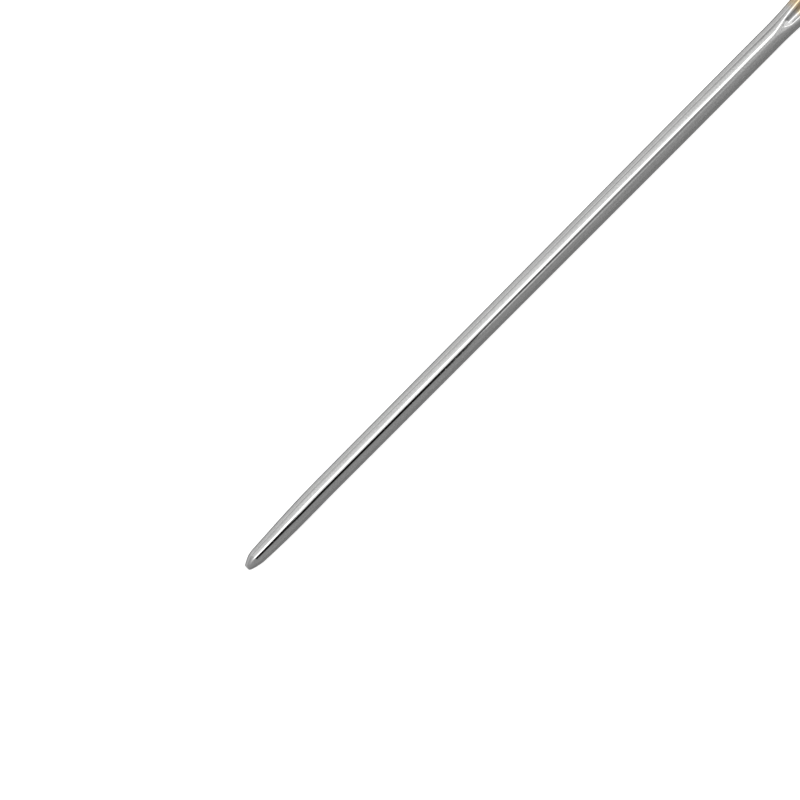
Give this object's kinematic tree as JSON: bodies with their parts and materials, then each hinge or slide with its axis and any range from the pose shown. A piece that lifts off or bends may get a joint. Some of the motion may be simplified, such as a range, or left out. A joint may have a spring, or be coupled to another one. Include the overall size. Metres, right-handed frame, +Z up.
{
  "type": "hand sewing needle",
  "caption": "Blunt hand sewing needle: round tapering steel shank, rounded tip, flattened head with a long slot eye and thread gutters on both faces.",
  "frame": {"origin": "on the surface the needle lies on, under the middle of its length and the middle of its head's width", "axes": "+X along the needle from the tip to the head, +Y across the flat of the head, +Z up, along the eye's axis"},
  "size_m": [0.044, 0.0016, 0.0011],
  "materials": {
    "plated_steel": "polished"
  },
  "bodies": {
    "root": {"needle": "plated_steel"}
  },
  "joints": []
}
